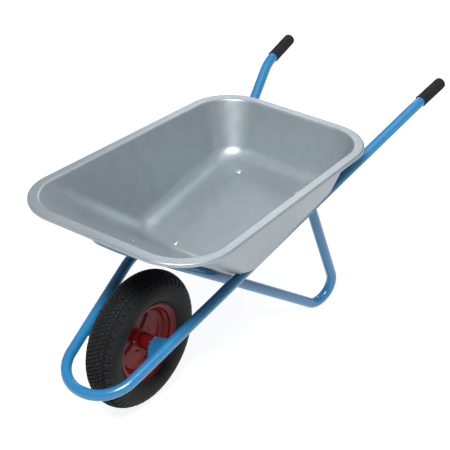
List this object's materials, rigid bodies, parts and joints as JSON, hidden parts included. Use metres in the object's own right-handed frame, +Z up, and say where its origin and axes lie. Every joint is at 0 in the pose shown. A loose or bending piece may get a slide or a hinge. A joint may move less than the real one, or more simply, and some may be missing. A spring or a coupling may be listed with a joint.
{
  "type": "garden wheelbarrow",
  "caption": "Single-wheel garden wheelbarrow: a pressed steel tray on a bent-tube frame with two ribbed grips, two feet and a pneumatic wheel that turns on ball bearings.",
  "frame": {"origin": "on the ground, below the middle of the whole length and width", "axes": "+X the way it is pushed, +Y the user's left, +Z up"},
  "size_m": [1.3931, 0.6264, 0.626],
  "materials": {
    "zinc_steel": "satin zinc-coated sheet",
    "blue_paint": "gloss enamel",
    "red_paint": "gloss enamel",
    "tyre_rubber": "satin",
    "tube_rubber": "satin",
    "grip_rubber": "matte",
    "seal_rubber": "matte",
    "black_plastic": "matte",
    "zinc_fastener": "zinc plated",
    "plain_steel": "turned",
    "bearing_steel": "ground"
  },
  "bodies": {
    "frame": {"tray": "zinc_steel", "main_frame_tube": "blue_paint", "leg_tube": "blue_paint", "front_floor_strap": "blue_paint", "rear_floor_strap": "blue_paint", "front_wall_strap": "blue_paint", "left_axle_bracket": "blue_paint", "right_axle_bracket": "blue_paint", "left_grip": "grip_rubber", "right_grip": "grip_rubber", "tray_bolts": "zinc_fastener", "tray_washers": "zinc_fastener", "tray_nuts": "zinc_fastener", "axle_bolt": "zinc_fastener", "axle_washers": "zinc_fastener", "axle_nut": "zinc_fastener", "axle_spacers": "plain_steel", "bearing_spacer_tube": "plain_steel", "bearing_inner_races": "bearing_steel"},
    "wheel": {"bearing_balls": "bearing_steel", "bearing_outer_races": "bearing_steel", "bearing_seals": "seal_rubber", "hub_tube": "red_paint", "rim_left": "red_paint", "rim_right": "red_paint", "tyre": "tyre_rubber", "inner_tube": "tube_rubber", "valve_stem": "tube_rubber", "valve_cap": "black_plastic"}
  },
  "joints": [
    {"name": "wheel_spin", "type": "hinge", "parent": "frame", "child": "wheel", "pos_m": [0.4357, 0, 0.2], "axis": [0, 1, 0], "continuous": true}
  ]
}
